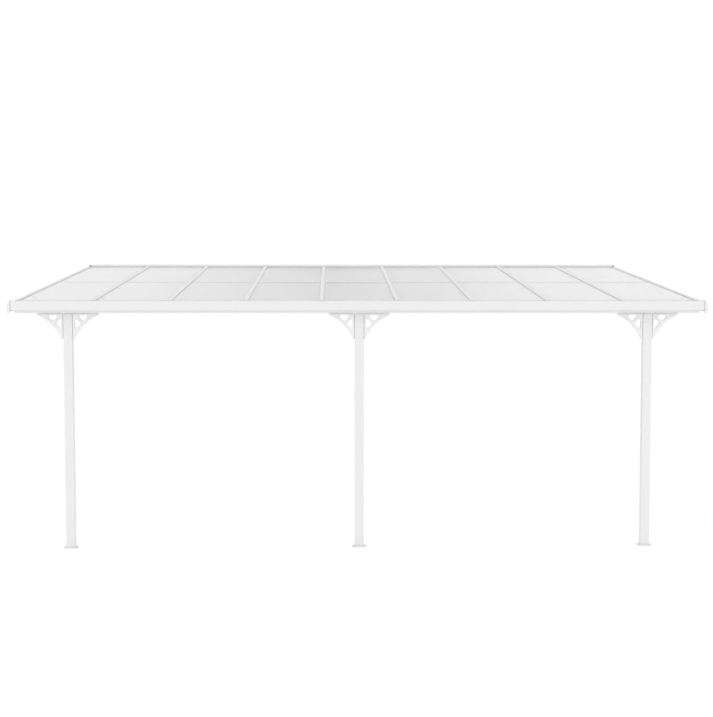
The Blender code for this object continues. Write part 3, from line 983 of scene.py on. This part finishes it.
@dataclass
class WallFixing:
    """Profile on the wall, with the seal under its hood, its end caps and its screws."""

    slope: RoofSlope
    edge: float = 0.0008
    lip: float = 0.003
    seal_thickness: float = 0.0026
    cap_thickness: float = 0.0024
    cap_front: float = 0.0012
    cap_width: float = 0.023
    cap_top: float = 0.002
    lap_top: float = 0.011
    flange_drop: float = 0.011
    plate: float = 0.004
    screw_size: float = 0.0042

    def build(self) -> None:
        """Dress the profile and add what is fixed to it."""
        dress("wall_profile", Finish.WALL_COAT, self.edge)
        self._hood_seal()
        for side, word in SIDES:
            self._end_cap(side, word)
        self._screws()

    def _hood_front(self) -> float:
        """Return the place of the hood's front face."""
        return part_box("wall_profile")[0].y

    def _sheet_height(self, y: float) -> float:
        """Return the height of the sheets' top face at a distance from the wall."""
        return self.slope.eave().z + (y - self.slope.eave().y) * math.tan(self.slope.pitch)

    def _hood_bottom(self, y: float) -> float:
        """Return the height of the hood's lower edge, just above the rafters' caps."""
        return self._sheet_height(y) + (self.slope.cap_rise + GAP) / math.cos(self.slope.pitch)

    def _hood_seal(self) -> None:
        """Build the seal that hangs from the hood's lip onto the sheets, bay by bay; its grey also
        paints the shade under the hood.
        """
        front = self._hood_front() + GAP
        back = front + self.seal_thickness
        top = self._hood_bottom(front) - GAP
        outline = [
            (front, self._sheet_height(front) + GAP), (back, self._sheet_height(back) + GAP),
            (back, top), (front, top),
        ]
        run = (self.slope.bay_module - self.slope.cap_width) / 2 - GAP
        form = Form()
        for x in self.slope.bay_lines():
            form.sweep(outline, along_wall, x - run, x + run)
        form.piece("hood_seal_and_shade", [Finish.HOOD_SEAL_AND_SHADE], Slot.WALL_COAT, smooth=True)

    def _end_cap(self, side: int, word: str) -> None:
        """Build the cap that closes one end of the hood and laps its front; its dark grey is
        painted shade.

        Args:
            side: -1 at the left end and 1 at the right.
            word: The side's name.
        """
        low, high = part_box("wall_profile")
        front = low.y
        nose, top = front - self.cap_front, high.z - self.lap_top
        foot = self._hood_bottom(front) + GAP
        closure = [
            (nose, foot), (0.0, self._hood_bottom(0.0) + GAP), (0.0, high.z),
            (front + self.lip, high.z - self.cap_top), (nose, top),
        ]
        lap = [(nose, foot), (front - GAP, foot), (front - GAP, top), (nose, top)]
        end = side * (high.x + GAP)
        form = Form().sweep(closure, along_wall, end, side * (high.x + GAP + self.cap_thickness))
        form.sweep(lap, along_wall, side * (high.x - self.cap_width), end)
        name = f"hood_end_cap_{word}"
        form.piece(name, [Finish.HOOD_END_PAINTED_SHADE], Slot.MOULDING, edge=FINE_EDGE)

    def _screws(self) -> None:
        """Build the screws through the profile's lower flange, two to a bay."""
        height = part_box("wall_profile")[0].z + self.flange_drop
        form = Form()
        for x in self.slope.bay_lines():
            for side, _ in SIDES:
                foot = Vector((x + side * self.slope.bay_module / 4, -self.plate, height))
                ScrewHead.HEX.add(form, foot, Vector((0.0, -1.0, 0.0)), self.screw_size)
        form.piece("wall_screws", [Finish.STEEL], Slot.WALL_COAT, smooth=True)


@dataclass
class Gutter:
    """Gutter lengths, the connectors between them and the two end caps."""

    section_count: int = 4
    connector_count: int = 3
    edge: float = 0.0009
    connector_edge: float = 0.0005
    cap_edge: float = 0.0018
    cap_segments: int = 3
    seal_width: float = 0.0018
    seal_proud: float = 0.0016
    seal_lip: float = 0.010
    corner_radius: float = 0.012
    corner_steps: int = 4

    def build(self) -> None:
        """Dress the gutter's nodes and seal its ends."""
        for number in range(1, self.section_count + 1):
            dress(f"gutter_section_{number}", Finish.FRAME_COAT, self.edge)
        for number in range(1, self.connector_count + 1):
            dress(f"gutter_connector_{number}", Finish.CONNECTOR_MOULDING, self.connector_edge)
        for side, word in SIDES:
            dress(f"gutter_cap_{word}", Finish.MOULDING, self.cap_edge, self.cap_segments)
            self._end_seal(side, word)

    def _end_seal(self, side: int, word: str) -> None:
        """Build the soft bead round one end of the gutter, against its end cap; its dark grey also
        paints the shade in the gap there.

        Args:
            side: -1 at the left end and 1 at the right.
            word: The side's name.
        """
        low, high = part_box(f"gutter_section_{1 if side < 0 else self.section_count}")
        outline = self._wrap(low, high, GAP) + self._wrap(low, high, GAP + self.seal_proud)[::-1]
        end = low.x if side < 0 else high.x
        form = Form().sweep(outline, along_wall, end - side * self.seal_width, end)
        form.piece(f"gutter_end_seal_{word}", [Finish.END_SEAL_AND_SHADE], Slot.MOULDING, smooth=True)

    def _wrap(self, low: Vector, high: Vector, room: float) -> list[tuple[float, float]]:
        """Return the line round a gutter: over its lip, down its front and along its floor.

        Args:
            low: The lower corner of the gutter's box.
            high: Its upper corner.
            room: How far off the gutter's faces the line runs.

        Returns:
            The line's points in y and z.
        """
        radius = self.corner_radius
        front, bottom, top = low.y - room, low.z - room, high.z + room
        points = [(front + self.seal_lip, top), (front, top)]
        for step in range(self.corner_steps + 1):
            angle = math.pi + math.pi / 2 * step / self.corner_steps
            y = front + radius * (1 + math.cos(angle))
            points.append((y, bottom + radius * (1 + math.sin(angle))))
        return points + [(high.y, bottom)]


@dataclass
class FrontFrame:
    """Front beam, posts and base plates, with end plugs, anchor bolts and foot screws."""

    slope: RoofSlope
    beam_edge: float = 0.0012
    post_edge: float = 0.0006
    plate_edge: float = 0.0012
    plug_thickness: float = 0.002
    plug_inset: float = 0.0008
    plug_edge: float = 0.0006
    bolt_edge: tuple[float, float] = (0.015, 0.018)
    bolt_radius: float = 0.0048
    washer_radius: float = 0.0098
    washer_thickness: float = 0.0014
    washer_sides: int = 20
    head_radius: float = 0.0082
    head_height: float = 0.0050
    head_bevel: float = 0.00082
    foot_screw_height: float = 0.036
    foot_screw_offset: float = 0.022
    foot_screw_size: float = 0.0042

    def build(self) -> None:
        """Dress the beam, posts and plates and add what fastens them."""
        dress("front_beam", Finish.BEAM_COAT_PAINTED_LIGHT, self.beam_edge)
        for side, word in SIDES:
            self._beam_plug(side, word)
        for place in POSTS:
            dress(f"post_{place}", Finish.FRAME_COAT, self.post_edge)
            dress(f"base_plate_{place}", Finish.PLATE_COAT, self.plate_edge)
            self._anchors(place)
            self._foot_screws(place)

    def _beam_plug(self, side: int, word: str) -> None:
        """Build the moulded plate that closes one end of the hollow beam.

        Args:
            side: -1 at the left end and 1 at the right.
            word: The side's name.
        """
        low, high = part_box("front_beam")
        inset = self.plug_inset
        front, back, bottom = low.y + inset, high.y - inset, low.z + inset
        rise = (high.y - low.y) * math.tan(self.slope.pitch)
        outline = [
            (front, bottom), (back, bottom), (back, high.z - inset), (front, high.z - rise - inset),
        ]
        start = side * (high.x + GAP)
        form = Form().sweep(outline, along_wall, start, start + side * self.plug_thickness)
        name = f"beam_end_plug_{word}"
        form.piece(name, [Finish.PLUG_MOULDING], Slot.MOULDING, edge=self.plug_edge)

    def _anchors(self, place: str) -> None:
        """Build the four bolts that hold one base plate to the ground, each on its washer.

        Args:
            place: Which post.
        """
        low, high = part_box(f"base_plate_{place}")
        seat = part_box(f"post_{place}")[0].z - GAP * 2 / 3
        edge_x, edge_y = self.bolt_edge
        form = Form()
        for x in (low.x + edge_x, high.x - edge_x):
            for y in (low.y + edge_y, high.y - edge_y):
                self._anchor(form, Vector((x, y, seat)), low.z - seat + GAP)
        form.piece(f"base_anchors_{place}", [Finish.STEEL], Slot.FOOTING, smooth=True)

    def _anchor(self, form: Form, foot: Vector, bottom: float) -> None:
        """Add one bolt: a washer, a chamfered hexagon head and its shank down to the ground.

        Args:
            form: The mesh that takes it.
            foot: Where its axis leaves the plate.
            bottom: The shank's lower end, measured up from the foot.
        """
        up = Vector((0.0, 0.0, 1.0))
        bore, rim, washer = self.bolt_radius + GAP, self.washer_radius, self.washer_thickness
        ring = [(bore, 0.0), (rim, 0.0), (rim, washer * 0.8), (rim * 0.98, washer), (bore, washer)]
        form.turn(ring, foot, up, self.washer_sides, closed=True)
        top, head, bevel = washer + self.head_height, self.head_radius, self.head_bevel
        bolt = [
            (0.0, bottom), (self.bolt_radius, bottom), (self.bolt_radius, washer),
            (head - bevel, washer), (head, washer + bevel / 2),
            (head, top - bevel), (head - bevel, top), (0.0, top),
        ]
        form.turn(bolt, foot, up, 6)

    def _foot_screws(self, place: str) -> None:
        """Build the screws that hold a post's back to its base plate's spigot.

        Args:
            place: Which post.
        """
        low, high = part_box(f"post_{place}")
        middle, height = (low.x + high.x) / 2, low.z + self.foot_screw_height
        form = Form()
        for side, _ in SIDES:
            foot = Vector((middle + side * self.foot_screw_offset, high.y, height))
            ScrewHead.HEX.add(form, foot, Vector((0.0, 1.0, 0.0)), self.foot_screw_size)
        form.piece(f"foot_screws_{place}", [Finish.STEEL], Slot.FOOTING, smooth=True)


@dataclass
class Corbels:
    """Arched corner pieces at the posts' heads, with a screw in each pointed window."""

    edge: float = 0.0008
    window_middle: float = 0.103
    window_seat: float = 0.0215
    screw_size: float = 0.0034

    def build(self) -> None:
        """Dress the corbels and add their screws."""
        for place in POSTS:
            post_low, post_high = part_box(f"post_{place}")
            for side, word in SIDES:
                name = f"corbel_{place}_post_{word}"
                dress(name, Finish.MOULDING, self.edge)
                self._screws(name, side, post_low.x if side < 0 else post_high.x)

    def _screws(self, name: str, side: int, wall: float) -> None:
        """Build the screws that hold one corbel to its post and to the beam.

        Args:
            name: The corbel.
            side: -1 on the post's left and 1 on its right.
            wall: Where the post's face on that side lies, along the wall.
        """
        middle = sum(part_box(name), Vector()).y / 2
        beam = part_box("front_beam")[0].z
        near, far = self.window_seat, self.window_middle
        form = Form()
        to_post = Vector((wall + side * near, middle, beam - far))
        ScrewHead.PAN.add(form, to_post, Vector((side, 0.0, 0.0)), self.screw_size)
        to_beam = Vector((wall + side * far, middle, beam - near))
        ScrewHead.PAN.add(form, to_beam, Vector((0.0, 0.0, -1.0)), self.screw_size)
        screws = name.replace("corbel", "corbel_screws")
        form.piece(screws, [Finish.SCREW_PAINT], Slot.MOULDING, smooth=True)


@dataclass
class Studio:
    """Pale floor, plain light and the camera at the photograph's angle."""

    floor_size: float = 160.0
    floor_cells: int = 8
    floor_drop: float = 0.0004
    floor_tone: Colour = grey(252)
    floor_glow: float = 0.97
    white_level: float = 1.004
    sky_level: float = 1.04
    key_power: float = 0.14
    key_spread: float = math.radians(50.0)
    key_height: float = math.radians(36.0)
    image_size: tuple[int, int] = (713, 717)
    focal_pixels: float = 1150.0
    sensor: float = 36.0
    camera_place: tuple[float, float, float] = (-0.2686, -14.7048, -0.3198)
    camera_tilt: float = math.radians(3.202)
    camera_turn: float = math.radians(1.230)
    camera_clip: tuple[float, float] = (0.1, 400.0)

    def build(self) -> None:
        """Set up the floor, the light and the camera."""
        self._floor()
        self._sky()
        self._key_light()
        self._camera()
        bpy.context.scene.view_settings.view_transform = "Standard"

    @staticmethod
    def _seen_directly(tree: NodeTree) -> Value:
        """Find where the view, a reflection or a see-through ray meets a surface.

        Args:
            tree: The surface's nodes.

        Returns:
            1 there and 0 elsewhere.
        """
        path = tree.add("ShaderNodeLightPath")
        seen = Value(tree, path.outputs["Is Camera Ray"])
        seen = seen.largest(Value(tree, path.outputs["Is Glossy Ray"]))
        return seen.largest(Value(tree, path.outputs["Is Transmission Ray"]))

    def _floor(self) -> None:
        """Lay the floor, which shows white and keeps a faint shadow."""
        form = bmesh.new()
        cells = self.floor_cells
        bmesh.ops.create_grid(form, x_segments=cells, y_segments=cells, size=self.floor_size / 2)
        mesh = bpy.data.meshes.new("floor")
        form.to_mesh(mesh)
        form.free()
        floor = put_in_scene("floor", mesh)
        floor.location = (0.0, 0.0, CAD_BOX[0].z - self.floor_drop)
        material = bpy.data.materials.new("pale_floor")
        material.use_nodes = True
        tree = NodeTree(material.node_tree)
        matt = tree.add("ShaderNodeBsdfDiffuse", {}, {"Color": (*self.floor_tone, 1.0)})
        white = tree.add("ShaderNodeEmission", {}, {"Color": WHITE, "Strength": self.white_level})
        share = self._seen_directly(tree) * self.floor_glow
        feeds = {0: share, 1: matt.outputs[0], 2: white.outputs[0]}
        mixed = tree.add("ShaderNodeMixShader", {}, feeds)
        tree.add("ShaderNodeOutputMaterial", {}, {"Surface": mixed.outputs[0]})
        mesh.materials.append(material)

    def _sky(self) -> None:
        """Light the cover evenly from all round, against a white background."""
        world = bpy.data.worlds.new("studio")
        world.use_nodes = True
        tree = NodeTree(world.node_tree)
        level = self._seen_directly(tree) * (self.white_level - self.sky_level) + self.sky_level
        sky = tree.add("ShaderNodeBackground", {}, {"Color": WHITE, "Strength": level})
        tree.add("ShaderNodeOutputWorld", {}, {"Surface": sky.outputs[0]})
        bpy.context.scene.world = world

    def _key_light(self) -> None:
        """Add a broad soft light from the garden side, a little above the roof."""
        lamp = bpy.data.lights.new("key", "SUN")
        lamp.energy = self.key_power
        lamp.angle = self.key_spread
        put_in_scene("key", lamp).rotation_euler = (math.pi / 2 - self.key_height, 0.0, 0.0)

    def _camera(self) -> None:
        """Set the camera where the photograph was taken from."""
        lens = bpy.data.cameras.new("camera")
        lens.sensor_width = self.sensor
        lens.lens = self.focal_pixels * self.sensor / max(self.image_size)
        lens.clip_start, lens.clip_end = self.camera_clip
        camera = put_in_scene("camera", lens)
        camera.location = self.camera_place
        camera.rotation_euler = (math.pi / 2 - self.camera_tilt, 0.0, -self.camera_turn)
        bpy.context.scene.camera = camera


def main() -> None:
    """Build the cover's looks, one sub-assembly after another."""
    logging.basicConfig(level=logging.INFO, format="%(name)s: %(message)s")
    slope = RoofSlope()
    Glazing(slope).build()
    Rafters(slope).build()
    WallFixing(slope).build()
    Gutter().build()
    FrontFrame(slope).build()
    Corbels().build()
    Studio().build()


if __name__ == "__main__":
    main()
